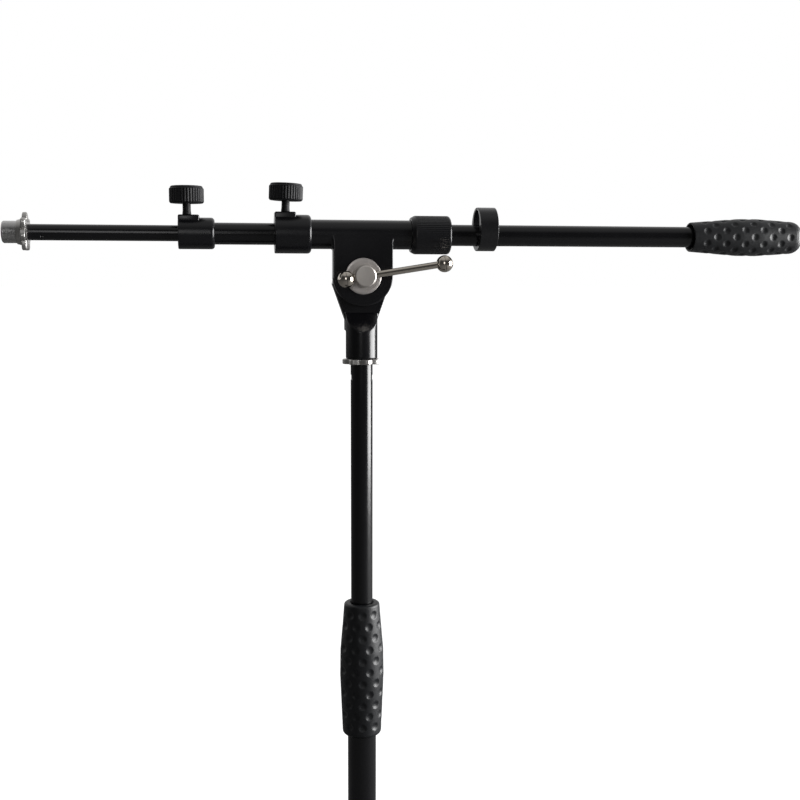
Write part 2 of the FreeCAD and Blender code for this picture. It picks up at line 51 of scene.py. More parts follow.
def rounded(corners, bend=15.0):
    """Outline through corners (radius, station, rounding) in millimetres, with fine arcs and held edges."""
    points = []
    last = len(corners) - 1
    for i, corner in enumerate(corners):
        here = Vector(corner[:2])
        rounding = corner[2] if len(corner) > 2 else 0.0
        if not rounding or i in (0, last):
            points.append(here)
            continue
        before = Vector(corners[i - 1][:2]) - here
        after = Vector(corners[i + 1][:2]) - here
        half = before.angle(after) / 2
        reach = rounding / math.tan(half)
        centre = here + (before.normalized() + after.normalized()).normalized() * rounding / math.sin(half)
        start = here + before.normalized() * reach - centre
        sweep = start.angle_signed(here + after.normalized() * reach - centre)
        steps = max(2, math.ceil(abs(math.degrees(sweep)) / bend))
        hold = min(0.3, 0.2 * rounding)
        points.append(centre + start + before.normalized() * hold)
        for step in range(steps + 1):
            points.append(centre + Matrix.Rotation(-sweep * step / steps, 2) @ start)
        points.append(here + after.normalized() * (reach + hold))
    return points


def divided(points, step):
    """The same outline with no run longer than step."""
    fine = [points[0]]
    for start, end in zip(points, points[1:]):
        count = max(1, math.ceil((end - start).length / step))
        fine += [start.lerp(end, (i + 1) / count) for i in range(count)]
    return fine


def settle(piece, place, angle=32.0):
    """Puts a piece in its place with the place in its mesh, and shades it."""
    bpy.ops.object.select_all(action="DESELECT")
    bpy.context.view_layer.objects.active = piece
    piece.select_set(True)
    piece.matrix_world = place
    bpy.ops.object.transform_apply(location=True, rotation=True, scale=True)
    bpy.ops.object.shade_smooth_by_angle(angle=math.radians(angle))
    return piece


def turned(name, points, place, segments=192, wave=None):
    """Piece spun from an outline; wave moves each point (radius, angle, station) of the spun skin."""
    bpy.ops.object.select_all(action="DESELECT")
    bpy.ops.mesh.primitive_plane_add(size=mm)
    piece = bpy.context.object
    piece.name = name
    bpy.ops.object.mode_set(mode="EDIT")
    bpy.ops.mesh.merge(type="CENTER")
    bpy.ops.transform.translate(value=(points[0].x * mm, 0, points[0].y * mm))
    for start, end in zip(points, points[1:]):
        run = (end - start) * mm
        bpy.ops.mesh.extrude_region_move(TRANSFORM_OT_translate={"value": (run.x, 0, run.y)})
    bpy.ops.mesh.select_all(action="SELECT")
    bpy.ops.mesh.spin(steps=segments, angle=math.tau, center=(0, 0, 0), axis=(0, 0, 1))
    bpy.ops.mesh.select_all(action="SELECT")
    bpy.ops.mesh.remove_doubles(threshold=0.002 * mm)
    bpy.ops.mesh.normals_make_consistent(inside=False)
    bpy.ops.object.mode_set(mode="OBJECT")
    if wave:
        for vertex in piece.data.vertices:
            radius = math.hypot(vertex.co.x, vertex.co.y) / mm
            angle = math.atan2(vertex.co.y, vertex.co.x)
            radius, angle, station = wave(radius, angle, vertex.co.z / mm)
            vertex.co = Vector((radius * math.cos(angle), radius * math.sin(angle), station)) * mm
    return settle(piece, place)


def size(node):
    """Lowest and highest corner of a piece of the design, in millimetres."""
    low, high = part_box(node)
    return low / mm, high / mm


def grain_group():
    """Shared effect: pebbled skin. Height for a bump, and a slow blotch for colour and gloss."""
    group = bpy.data.node_groups.new("pebbled_skin", "ShaderNodeTree")
    for name, usual in (("Pebbles per metre", 900.0), ("Blotches per metre", 30.0)):
        socket = group.interface.new_socket(name, in_out="INPUT", socket_type="NodeSocketFloat")
        socket.default_value = usual
    for socket in ("Height", "Blotch"):
        group.interface.new_socket(socket, in_out="OUTPUT", socket_type="NodeSocketFloat")
    nodes, links = group.nodes, group.links
    given = nodes.new("NodeGroupInput")
    result = nodes.new("NodeGroupOutput")
    place = nodes.new("ShaderNodeTexCoord")
    pebbles = nodes.new("ShaderNodeTexNoise")
    pebbles.inputs["Detail"].default_value = 3.0
    pebbles.inputs["Roughness"].default_value = 0.55
    blotches = nodes.new("ShaderNodeTexNoise")
    blotches.inputs["Detail"].default_value = 4.0
    for noise, socket in ((pebbles, "Pebbles per metre"), (blotches, "Blotches per metre")):
        links.new(place.outputs["Object"], noise.inputs["Vector"])
        links.new(given.outputs[socket], noise.inputs["Scale"])
    links.new(pebbles.outputs["Fac"], result.inputs["Height"])
    links.new(blotches.outputs["Fac"], result.inputs["Blotch"])
    return group


pebbled_skin = grain_group()


def blank(name):
    """Material with only its shader, and its node tree."""
    material = bpy.data.materials.new(name)
    material.use_nodes = True
    tree = material.node_tree
    return material, tree.nodes, tree.links, tree.nodes["Principled BSDF"]


def between(nodes, links, value, low, high, socket):
    """Feeds a socket with a value spread from low to high."""
    spread = nodes.new("ShaderNodeMapRange")
    spread.inputs["From Min"].default_value = 0.3
    spread.inputs["From Max"].default_value = 0.7
    spread.inputs["To Min"].default_value = low
    spread.inputs["To Max"].default_value = high
    links.new(value, spread.inputs["Value"])
    links.new(spread.outputs["Result"], socket)


def mixed(nodes, links, value, first, second, socket):
    """Feeds a colour socket with a blend of two colours."""
    mix = nodes.new("ShaderNodeMix")
    mix.data_type = "RGBA"
    mix.inputs[6].default_value = (*first, 1.0)
    mix.inputs[7].default_value = (*second, 1.0)
    links.new(value, mix.inputs[0])
    links.new(mix.outputs[2], socket)


def bumped(nodes, links, height, strength, distance, shader):
    """Feeds the shader's normal with a bump of a height."""
    bump = nodes.new("ShaderNodeBump")
    bump.inputs["Strength"].default_value = strength
    bump.inputs["Distance"].default_value = distance
    links.new(height, bump.inputs["Height"])
    links.new(bump.outputs["Normal"], shader.inputs["Normal"])


def pebbled(name, dark, light, gloss, pebbles, depth, strength=0.35, specular=0.4):
    """Coated or moulded black: two near colours, two roughnesses and a pebbled skin."""
    material, nodes, links, shader = blank(name)
    shader.inputs["Specular IOR Level"].default_value = specular
    skin = nodes.new("ShaderNodeGroup")
    skin.node_tree = pebbled_skin
    skin.inputs["Pebbles per metre"].default_value = pebbles
    mixed(nodes, links, skin.outputs["Blotch"], dark, light, shader.inputs["Base Color"])
    between(nodes, links, skin.outputs["Blotch"], gloss[0], gloss[1], shader.inputs["Roughness"])
    bumped(nodes, links, skin.outputs["Height"], strength, depth * mm, shader)
    return material, shader


def fitted(piece, body, nodes, material):
    """Gives a piece its finish, the body it moves with and the pieces of the design it stands for."""
    piece.data.materials.clear()
    piece.data.materials.append(material)
    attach(piece, body)
    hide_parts(*nodes)


def dressed(material, *nodes):
    """Gives pieces of the design their finish."""
    for name in nodes:
        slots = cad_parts[name].material_slots
        for slot in slots:
            slot.link = "OBJECT"
            slot.material = material


iron_coat, _ = pebbled("coated_cast_iron", (0.012, 0.012, 0.013), (0.018, 0.018, 0.019),
                       (0.42, 0.52), 700.0, 0.25)
plate_low, plate_high = size("base_plate")
tube_radius = size("lower_tube")[1].x
hub = tube_radius + 6.0
base = turned("cast_base", rounded([
    (4.4, 12.0), (22.0, 12.0, 2.0), (22.0, plate_low.z, 1.0),
    (plate_high.x, plate_low.z, 0.8), (plate_high.x, plate_low.z + 8.0, 4.0),
    (hub + 22.0, 22.0, 40.0), (hub, 24.0, 4.0), (hub - 1.0, plate_high.z, 2.0),
    (tube_radius, plate_high.z, 0.5), (tube_radius, 22.0), (4.4, 22.0), (4.4, 12.0),
], bend=6.0), upright, segments=256)
fitted(base, "base", ["base_plate"], iron_coat)


# ---- rim rubber, base bolt and plug ----
# A rubber ring grips the rim and stands on the floor. A zinc-plated bolt with a washer
# pulls the steel plug in the lower tube down on the base.
rim_rubber_finish, _ = pebbled("rim_rubber", (0.010, 0.011, 0.012), (0.016, 0.017, 0.019),
                               (0.5, 0.62), 2200.0, 0.06)
ring_low, ring_high = size("base_ring")
inner = plate_high.x - 12.0
rim_rubber = turned("rim_rubber_ring", rounded([
    (inner, 1.0), (inner, 0, 1.0), (ring_high.x, 0, 1.5), (ring_high.x, ring_high.z, 1.5),
    (plate_high.x, ring_high.z, 0.3), (plate_high.x, plate_low.z), (inner, plate_low.z), (inner, 1.0),
]), upright, segments=256)
fitted(rim_rubber, "base", ["base_ring"], rim_rubber_finish)


def brushed_group():
    """Shared effect: fine marks of a lathe tool, rings about one axis of the piece."""
    group = bpy.data.node_groups.new("lathe_marks", "ShaderNodeTree")
    group.interface.new_socket("Axis point", in_out="INPUT", socket_type="NodeSocketVector")
    group.interface.new_socket("Marks", in_out="INPUT", socket_type="NodeSocketVector")
    for socket in ("Height", "Blotch"):
        group.interface.new_socket(socket, in_out="OUTPUT", socket_type="NodeSocketFloat")
    nodes, links = group.nodes, group.links
    given = nodes.new("NodeGroupInput")
    result = nodes.new("NodeGroupOutput")
    place = nodes.new("ShaderNodeTexCoord")
    offset = nodes.new("ShaderNodeVectorMath")
    offset.operation = "SUBTRACT"
    links.new(place.outputs["Object"], offset.inputs[0])
    links.new(given.outputs["Axis point"], offset.inputs[1])
    stretch = nodes.new("ShaderNodeVectorMath")
    stretch.operation = "MULTIPLY"
    links.new(offset.outputs[0], stretch.inputs[0])
    links.new(given.outputs["Marks"], stretch.inputs[1])
    length = nodes.new("ShaderNodeVectorMath")
    length.operation = "LENGTH"
    links.new(stretch.outputs[0], length.inputs[0])
    marks = nodes.new("ShaderNodeTexNoise")
    marks.noise_dimensions = "1D"
    marks.inputs["Scale"].default_value = 1.0
    marks.inputs["Detail"].default_value = 3.0
    links.new(length.outputs["Value"], marks.inputs["W"])
    stains = nodes.new("ShaderNodeTexNoise")
    stains.inputs["Scale"].default_value = 150.0
    stains.inputs["Detail"].default_value = 3.0
    links.new(place.outputs["Object"], stains.inputs["Vector"])
    links.new(marks.outputs["Fac"], result.inputs["Height"])
    links.new(stains.outputs["Fac"], result.inputs["Blotch"])
    return group


lathe_marks = brushed_group()


def metal(name, colour, shade, gloss, axis_point, marks, depth, strength=0.4):
    """Bare or plated metal with lathe marks: marks is how many a metre along x, y and z."""
    material, nodes, links, shader = blank(name)
    lathe = nodes.new("ShaderNodeGroup")
    lathe.node_tree = lathe_marks
    lathe.inputs["Axis point"].default_value = axis_point
    lathe.inputs["Marks"].default_value = marks
    shader.inputs["Metallic"].default_value = 1.0
    mixed(nodes, links, lathe.outputs["Blotch"], colour, shade, shader.inputs["Base Color"])
    between(nodes, links, lathe.outputs["Height"], gloss[0], gloss[1], shader.inputs["Roughness"])
    bumped(nodes, links, lathe.outputs["Height"], strength, depth * mm, shader)
    return material


zinc_plate = metal("zinc_plate", (0.62, 0.63, 0.64), (0.52, 0.53, 0.55), (0.28, 0.4),
                   (0, 0, 0), (900, 900, 900), 0.02)
dressed(zinc_plate, "base_bolt", "base_washer", "lower_tube_plug", "upper_stud", "pivot_nut")


# ---- lower tube and its clutch ----
# The lower tube stands in the base's hub. A slit nylon collet is fixed in its top, and a turned
# housing squeezes it. A dimpled rubber sleeve, waisted at its top, is bonded on the housing.
def tube(name, node, inner, ends, place, along, segments=160):
    """Coated tube with softened ends, between a node's own end faces."""
    low, high = size(node)
    outer = (high.y - low.y) / 2
    start, end = (low.x, high.x) if along == "x" else (low.z, high.z)
    return turned(name, rounded([
        (inner, (start + end) / 2), (inner, start, 0.25), (outer, start, ends),
        (outer, end, ends), (inner, end, 0.25), (inner, (start + end) / 2),
    ]), place, segments)


tube_coat, _ = pebbled("tube_powder_coat", (0.003, 0.003, 0.0036), (0.0042, 0.0042, 0.005),
                       (0.17, 0.22), 900.0, 0.006)
tube_wall = 1.2
lower_tube = tube("lower_tube_coated", "lower_tube", tube_radius - tube_wall, 0.4, upright, "z")
fitted(lower_tube, "base", ["lower_tube"], tube_coat)

nylon, nylon_shader = pebbled("white_nylon", (0.66, 0.65, 0.61), (0.72, 0.71, 0.68),
                              (0.42, 0.5), 1500.0, 0.03)
nylon_shader.inputs["Subsurface Weight"].default_value = 0.08
dressed(nylon, "clutch_collet", "post_foot_bush", "sleeve_collet", "extension_bush",
        "boom_knob_pad", "extension_knob_pad")
cast_zinc = metal("turned_cast_zinc", (0.42, 0.42, 0.43), (0.36, 0.36, 0.37), (0.35, 0.5),
                  (0, 0, 0), (0, 0, 2500), 0.02)
dressed(cast_zinc, "clutch_housing")

grip_rubber, _ = pebbled("grip_rubber", (0.0025, 0.003, 0.0042), (0.0035, 0.0042, 0.0055),
                         (0.42, 0.52), 2600.0, 0.012)


def dimples(columns, pitch, first, last, start, facing, width, depth, above):
    """Wave that presses staggered rows of round dimples in the skin above a radius.

    One dimple is at start on the facing side.
    """
    def wave(radius, angle, station):
        if radius < above:
            return radius, angle, station
        turn = math.tau / columns
        around = (angle - facing) % math.tau
        for column in (math.floor(around / turn), math.floor(around / turn) + 1):
            shift = pitch / 2 if column % 2 else 0.0
            row = round((station - start - shift) / pitch)
            middle = start + shift + row * pitch
            if first <= middle <= last:
                away = math.hypot(station - middle, radius * (around - column * turn)) / (width / 2)
                if away < 1.1:
                    dip = 1 - away * away if away < 0.9 else 0.19 * ((1.1 - away) / 0.2) ** 2
                    radius -= depth * dip
        return radius, angle, station
    return wave


grip_low, grip_high = size("clutch_grip")
housing = size("clutch_housing")[1].y
post_radius = size("upper_tube")[1].y
grip_length = grip_high.z - grip_low.z
grip_foot = tube_radius + 0.4
grip_mouth = post_radius + 0.7
grip_outline = divided(rounded([
    (housing, grip_low.z + 3.0), (grip_foot, grip_low.z + 3.0), (grip_foot, grip_low.z, 0.6),
    (grip_high.x - 2.0, grip_low.z, 3.0), (grip_high.x, grip_low.z + grip_length * 0.45, 50.0),
    (housing + 4.3, grip_high.z - 37.0, 30.0), (housing + 2.3, grip_high.z - 14.0, 30.0),
    (housing + 1.2, grip_high.z, 2.0), (grip_mouth, grip_high.z, 0.8),
    (grip_mouth, grip_high.z - 1.4), (housing, grip_high.z - 1.4), (housing, grip_low.z + 3.0),
]), 0.45)
grip_dimples = dimples(18, 17.7, grip_low.z + 6.0, grip_high.z - 5.0, grip_high.z - 7.5,
                       math.radians(-95.0), 6.3, 1.0, housing + 0.5)
clutch_grip = turned("clutch_rubber_grip", grip_outline, upright, 234, grip_dimples)
fitted(clutch_grip, "clutch", ["clutch_grip"], grip_rubber)


# ---- upper tube ----
# The post's upper tube slides in the collet. A threaded insert is crimped in its top,
# where two short grooves are pressed into the wall on opposite sides.
def crimps(low, high, width, depth):
    """Wave that presses a short groove across the tube on its two sides."""
    def wave(radius, angle, station):
        if low < station < high:
            across = abs(radius * math.sin(angle)) / width
            along = abs(station - (low + high) / 2) / ((high - low) / 2)
            if across < 1:
                radius -= depth * math.sqrt(1 - along * along) * (1 - across ** 4)
        return radius, angle, station
    return wave


tube_low, tube_high = size("upper_tube")
upper_inner = post_radius - tube_wall
crimp_top = tube_high.z - 8.0
tube_foot = rounded([
    (upper_inner, tube_low.z + 20.0), (upper_inner, tube_low.z, 0.25), (post_radius, tube_low.z, 0.4)])
tube_middle = divided([
    Vector((post_radius, crimp_top - 6.0)), Vector((post_radius, crimp_top + 2.0))], 0.25)
tube_top = rounded([
    (post_radius, tube_high.z - 3.0), (post_radius, tube_high.z, 0.3),
    (upper_inner, tube_high.z, 0.25), (upper_inner, tube_low.z + 20.0)])
upper_tube = turned("upper_tube_coated", tube_foot + tube_middle + tube_top, upright, 160,
                    crimps(crimp_top - 4.0, crimp_top, 3.5, 0.55))
fitted(upper_tube, "post", ["upper_tube"], tube_coat)


# ---- post lock ring ----
# A die-cast ring with rounded lobes on the post's thread. It is turned by hand
# up against the socket, and its bare metal is dull silver.
def lobes(count, inside, dip, start=-math.inf, end=math.inf):
    """Wave that hollows the edge of a spun disc between rounded lobes."""
    def wave(radius, angle, station):
        if radius > inside and start < station < end:
            phase = abs(math.sin(count * angle / 2))
            share = (radius - inside) / (radius - inside + 1.5)
            radius -= dip * (1 - phase) ** 0.8 * min(1.0, share * 1.6)
        return radius, angle, station
    return wave


ring_low, ring_high = size("post_lock_ring")
thread = 7.94
cast_silver, cast_shader = pebbled("cast_silver", (0.52, 0.51, 0.49), (0.42, 0.41, 0.40),
                                   (0.3, 0.42), 1400.0, 0.03)
cast_shader.inputs["Metallic"].default_value = 1.0
post_ring = turned("post_star_ring", divided(rounded([
    (thread + 0.5, ring_high.z), (thread, ring_high.z - 0.4), (thread, ring_low.z + 0.4),
    (thread + 0.5, ring_low.z), (ring_high.x, ring_low.z, 0.8), (ring_high.x, ring_high.z, 0.8),
    (thread + 0.5, ring_high.z),
]), 0.6), upright, 252, lobes(7, thread + 1.0, 3.2))
fitted(post_ring, "post_ring", ["post_lock_ring"], cast_silver)


# ---- swivel socket and rear ear ----
# One die casting: a socket on the post's thread that runs up into the flat rear ear of the
# half-lap swivel. Its edges are rounded by the die, and it is powder coated.
def shift(piece, distance):
    """Moves a primitive's mesh."""
    bpy.ops.object.select_all(action="DESELECT")
    bpy.context.view_layer.objects.active = piece
    piece.select_set(True)
    piece.location = distance
    bpy.ops.object.transform_apply(location=True, rotation=True, scale=True)
    return piece


def drum(radius, middle, axis, length, sides=128):
    """Plain cylinder about a point, used only to add to or cut a casting."""
    turn = {"x": (0, math.pi / 2, 0), "y": (math.pi / 2, 0, 0), "z": (0, 0, 0)}[axis]
    bpy.ops.object.select_all(action="DESELECT")
    bpy.ops.mesh.primitive_cylinder_add(
        vertices=sides, radius=radius * mm, depth=length * mm, rotation=turn)
    return shift(bpy.context.object, Vector(middle) * mm)


def brick(low, high):
    """Plain block between two corners, used only to add to or cut a casting."""
    low, high = Vector(low) * mm, Vector(high) * mm
    bpy.ops.object.select_all(action="DESELECT")
    bpy.ops.mesh.primitive_cube_add(size=1.0)
    piece = bpy.context.object
    piece.scale = high - low
    return shift(piece, (low + high) / 2)


def slab(points, start, end):
    """Plate with an outline (x, z), between two stations of y."""
    bpy.ops.object.select_all(action="DESELECT")
    bpy.ops.mesh.primitive_plane_add(size=mm)
    piece = bpy.context.object
    bpy.ops.object.mode_set(mode="EDIT")
    bpy.ops.mesh.merge(type="CENTER")
    bpy.ops.transform.translate(value=Vector((points[0].x, start, points[0].y)) * mm)
    for here, there in zip(points, points[1:]):
        run = (there - here) * mm
        bpy.ops.mesh.extrude_region_move(TRANSFORM_OT_translate={"value": (run.x, 0, run.y)})
    bpy.ops.mesh.select_all(action="SELECT")
    bpy.ops.mesh.edge_face_add()
    bpy.ops.mesh.select_all(action="SELECT")
    bpy.ops.mesh.extrude_region_move(TRANSFORM_OT_translate={"value": (0, (end - start) * mm, 0)})
    bpy.ops.mesh.select_all(action="SELECT")
    bpy.ops.mesh.normals_make_consistent(inside=False)
    bpy.ops.object.mode_set(mode="OBJECT")
    return piece


def carve(piece, tool, operation="DIFFERENCE"):
    """Cuts a piece with a tool, or adds the tool to it, and takes the tool away."""
    bpy.context.view_layer.objects.active = piece
    boolean = piece.modifiers.new("carve", "BOOLEAN")
    boolean.operation = operation
    boolean.solver = "EXACT"
    boolean.object = tool
    bpy.ops.object.modifier_apply(modifier=boolean.name)
    bpy.data.objects.remove(tool)
    return piece


def die_cast(name, piece, grid, passes):
    """Turns sharp joined shapes into one skin with rounded edges and filled corners."""
    piece.name = name
    bpy.ops.object.select_all(action="DESELECT")
    bpy.context.view_layer.objects.active = piece
    piece.select_set(True)
    remesh = piece.modifiers.new("skin", "REMESH")
    remesh.mode = "VOXEL"
    remesh.voxel_size = grid * mm
    bpy.ops.object.modifier_apply(modifier=remesh.name)
    smooth = piece.modifiers.new("round", "SMOOTH")
    smooth.factor = 0.5
    smooth.iterations = passes
    bpy.ops.object.modifier_apply(modifier=smooth.name)
    bpy.ops.object.shade_smooth()
    return piece


pivot_low, pivot_high = size("friction_disc")
pivot = (pivot_low.z + pivot_high.z) / 2
socket_low, socket_high = size("swivel_socket")
socket_radius = 11.9
ear_radius = socket_high.z - pivot
ear_back = socket_high.y
ear_front = 0.5
thread_bore = 7.96
bolt_bore = 4.0
nut_corner = 7.57
shoulder_drop = 32.9
shoulder = Vector((socket_radius, pivot - shoulder_drop))
reach = Vector((shoulder.x, shoulder.y - pivot))
ear_wide = 22.2
tilt_limit = math.radians(90 - 75)
corner = tilt_limit - math.acos(ear_radius / ear_wide)
tangent = math.atan2(reach.y, reach.x) + math.acos(ear_wide / reach.length)
flat_foot = pivot - 40.9
ramp_top = flat_foot + 13.0
ramp_foot = flat_foot - 0.2


def arc(radius, height, start, end, steps):
    """Points (x, z) of an arc about the middle plane."""
    angles = [start + (end - start) * step / steps for step in range(steps + 1)]
    return [Vector((radius * math.cos(angle), height + radius * math.sin(angle))) for angle in angles]


ear_outline = [Vector((-shoulder.x, flat_foot)), Vector((shoulder.x, flat_foot)), shoulder]
ear_outline += arc(ear_wide, pivot, tangent, corner, 8)
ear_outline += arc(ear_radius, pivot, tilt_limit, math.pi - tilt_limit, 96)
ear_outline += arc(ear_wide, pivot, math.pi - corner, math.pi - tangent, 8)
ear_outline += [Vector((-shoulder.x, shoulder.y)), Vector((-shoulder.x, flat_foot))]

casting_coat, _ = pebbled("casting_powder_coat", (0.0032, 0.0032, 0.004), (0.0045, 0.0045, 0.0055),
                          (0.2, 0.27), 1300.0, 0.012)
socket = turned("swivel_socket_casting", rounded([
    (0, socket_low.z), (socket_radius, socket_low.z, 0.8), (socket_radius, ramp_top), (0, ramp_top),
]), upright)
ramp = slab(rounded([
    (-30.0, ramp_foot), (-socket_radius, ramp_foot), (ear_front, ramp_top, 14.0),
    (ear_front, pivot), (-30.0, pivot)]), -20.0, 20.0)
ramp.rotation_euler = (0, 0, math.pi / 2)
socket = carve(socket, shift(ramp, Vector((0, 0, 0))))
socket = carve(socket, slab(ear_outline, ear_front, ear_back), "UNION")
socket = carve(socket, drum(thread_bore, (0, 0, socket_low.z + 11.0), "z", 26.0))
socket = carve(socket, drum(bolt_bore, (0, 5.0, pivot), "y", 30.0))
socket = carve(socket, drum(nut_corner, (0, ear_back, pivot), "y", 6.0, 6))
socket = die_cast("swivel_socket_casting", socket, 0.42, 7)
fitted(socket, "post", ["swivel_socket"], casting_coat)

fibre, _ = pebbled("fibre_disc", (0.022, 0.018, 0.015), (0.032, 0.026, 0.02), (0.7, 0.8), 1800.0, 0.05)
dressed(fibre, "friction_disc")


# ---- sleeve and front ear ----
# The other half of the swivel: one die casting of the sleeve that the boom tube slides in
# and the front ear that hangs from it. Powder coated like the socket.
sleeve_low, sleeve_high = size("swivel_sleeve")
boom = size("boom_tube")
boom_height = (boom[0].z + boom[1].z) / 2
boom_radius = (boom[1].z - boom[0].z) / 2
sleeve_radius = sleeve_high.z - boom_height
along_boom = Matrix.Translation((0, 0, boom_height * mm)) @ Matrix.Rotation(math.pi / 2, 4, "Y")
ear_bottom = sleeve_low.z
ear_centre = ear_bottom + ear_wide
front_outline = [Vector((ear_wide, boom_height)), Vector((-ear_wide, boom_height))]
front_outline += arc(ear_wide, ear_centre, math.pi, math.tau, 96) + front_outline[:1]
front_ear = slab(front_outline, sleeve_low.y, -0.7)
front_ear = carve(front_ear, drum(boom_radius + 1.5, (0, 0, boom_height), "x", 80.0))
front_ear = carve(front_ear, drum(bolt_bore, (0, -5.0, pivot), "y", 30.0))
sleeve_bore = boom_radius + 1.05
sleeve = turned("swivel_sleeve_casting", rounded([
    (sleeve_bore, 0), (sleeve_bore, sleeve_low.x, 0.2), (sleeve_radius, sleeve_low.x, 0.4),
    (sleeve_radius, sleeve_high.x, 0.4), (sleeve_bore, sleeve_high.x, 0.2), (sleeve_bore, 0),
]), along_boom)
sleeve = carve(sleeve, front_ear, "UNION")
sleeve = die_cast("swivel_sleeve_casting", sleeve, 0.45, 7)
fitted(sleeve, "boom_holder", ["swivel_sleeve"], casting_coat)


# ---- pivot washer, bolt and nut ----
# A turned washer spreads the load on the front ear. The bolt's round head is drilled across
# for the bar, and its face still shows the rings of the lathe tool.
to_front = Matrix.Translation((0, 0, pivot * mm)) @ Matrix.Rotation(math.pi / 2, 4, "X")
washer_low, washer_high = size("pivot_washer")
washer_radius = washer_high.x
washer_bore = 4.1
washer_back, washer_face = -washer_high.y, -washer_low.y
washer_metal = metal("turned_washer", (0.64, 0.60, 0.57), (0.48, 0.45, 0.43), (0.34, 0.50),
                     (0, 0, pivot * mm), (3200, 0, 3200), 0.02, 0.5)
washer = turned("pivot_washer_turned", rounded([
    (washer_bore, washer_back + 0.4), (washer_bore, washer_back), (washer_radius, washer_back, 0.3),
    (washer_radius, washer_face - 0.3, 0.5), (washer_radius - 1.5, washer_face, 0.5),
    (washer_bore, washer_face, 0.2), (washer_bore, washer_back + 0.4),
]), to_front, 224)
fitted(washer, "boom_holder", ["pivot_washer"], washer_metal)

bolt_low, bolt_high = size("pivot_bolt")
bolt_face = -bolt_low.y
head = 7.85
flange = bolt_high.x
seat = bolt_face - 14.4
bolt_metal = metal("turned_bolt", (0.66, 0.62, 0.58), (0.52, 0.49, 0.46), (0.34, 0.46),
                   (0, 0, pivot * mm), (2600, 0, 2600), 0.02, 0.5)
shank = 3.95
bolt = turned("pivot_bolt_turned", rounded([
    (0, -bolt_high.y), (shank, -bolt_high.y, 0.6), (shank, seat, 0.2), (flange, seat, 0.3),
    (flange, seat + 1.8, 0.6), (head, seat + 2.0, 0.3), (head, bolt_face - 0.8, 0.4),
    (head - 0.9, bolt_face - 0.15, 0.6), (0, bolt_face),
], bend=10.0), to_front, 224)
bar_low, bar_high = size("t_bar")
slope = math.radians(9.0)
bar_middle = (bar_low + bar_high) / 2
along_bar = (Matrix.Translation((0, bar_middle.y * mm, pivot * mm))
             @ Matrix.Rotation(math.pi / 2 - slope, 4, "Y"))
bar_radius = 2.5
bar_bore = 2.62
hole = drum(bar_bore, (0, 0, 0), "z", 30.0, 64)
hole.matrix_world = along_bar
bolt = settle(carve(bolt, hole), Matrix.Identity(4))
fitted(bolt, "pivot_bolt", ["pivot_bolt"], bolt_metal)


# ---- sliding bar ----
# A ground steel bar slides through the bolt's head as its handle. A ball is driven on
# each end, and the whole is chromed.
# The chrome's warm beige tint is a painted reflection of warm surroundings, not the plating's own colour.
chrome = metal("chrome_painted_warm_reflection", (0.62, 0.57, 0.50), (0.56, 0.51, 0.45), (0.09, 0.15),
               (0, 0, 0), (1500, 1500, 1500), 0.002, 0.2)
bar_span = math.hypot(bar_high.x - bar_low.x, bar_high.z - bar_low.z)
bar_half = bar_span / 2 - bar_radius * math.sin(2 * slope) / 2
bar_station = bar_middle.x / math.cos(slope)
bar = turned("bar_chromed", rounded([
    (0, bar_station - bar_half), (bar_radius, bar_station - bar_half, 0.4),
    (bar_radius, bar_station + bar_half, 0.4), (0, bar_station + bar_half)]), along_bar, 64)
fitted(bar, "t_bar", ["t_bar"], chrome)
for side in ("left", "right"):
    ball_low, ball_high = size(f"t_bar_{side}_ball")
    ball_radius = (ball_high.y - ball_low.y) / 2
    station = (ball_low.x + ball_high.x) / 2 / math.cos(slope)
    ball = turned(f"{side}_ball_chromed", rounded([
        (0, station - ball_radius), (ball_radius, station - ball_radius, ball_radius),
        (ball_radius, station + ball_radius, ball_radius), (0, station + ball_radius),
    ], bend=4.0), along_bar, 96)
    fitted(ball, "t_bar", [f"t_bar_{side}_ball"], chrome)


# ---- sleeve clutch ring ----
# A moulded ring with very fine ribs closes the sleeve's collet on the boom tube
# when it is twisted.
def ribs(count, above, depth, start, end):
    """Wave that presses fine grooves along a spun skin between two stations."""
    def wave(radius, angle, station):
        if radius > above and start < station < end:
            fade = min(1.0, (station - start) / 1.0, (end - station) / 1.0)
            radius -= depth * fade * (0.5 - 0.5 * math.cos(count * angle))
        return radius, angle, station
    return wave


def moulded(name, dark, gloss, specular=0.4):
    """Moulded plastic: satin black with a spark-eroded skin."""
    light = tuple(1.35 * value for value in dark)
    return pebbled(name, dark, light, gloss, 2000.0, 0.008, specular=specular)[0]


collar_plastic = moulded("moulded_plastic", (0.0035, 0.0035, 0.0045), (0.24, 0.3))
clutch_low, clutch_high = size("sleeve_clutch_ring")
clutch_radius = clutch_high.z - boom_height
clutch_bore = sleeve_radius + 0.1
lip_bore = boom_radius + 0.3
lip_back = clutch_high.x - 3.4
clutch_outline = divided(rounded([
    (clutch_bore, clutch_low.x + 4.0), (clutch_bore, clutch_low.x, 0.3),
    (clutch_radius - 1.6, clutch_low.x, 0.6), (clutch_radius, clutch_low.x + 3.0, 2.5),
    (clutch_radius, clutch_high.x, 2.2), (lip_bore, clutch_high.x, 0.5), (lip_bore, lip_back),
    (clutch_bore, lip_back), (clutch_bore, clutch_low.x + 4.0),
]), 0.9)
clutch_ribs = ribs(60, clutch_radius - 0.6, 0.22, clutch_low.x + 2.6, clutch_high.x - 1.6)
clutch_ring = turned("sleeve_clutch_ribbed", clutch_outline, along_boom, 480, clutch_ribs)
fitted(clutch_ring, "sleeve_clutch", ["sleeve_clutch_ring"], collar_plastic)


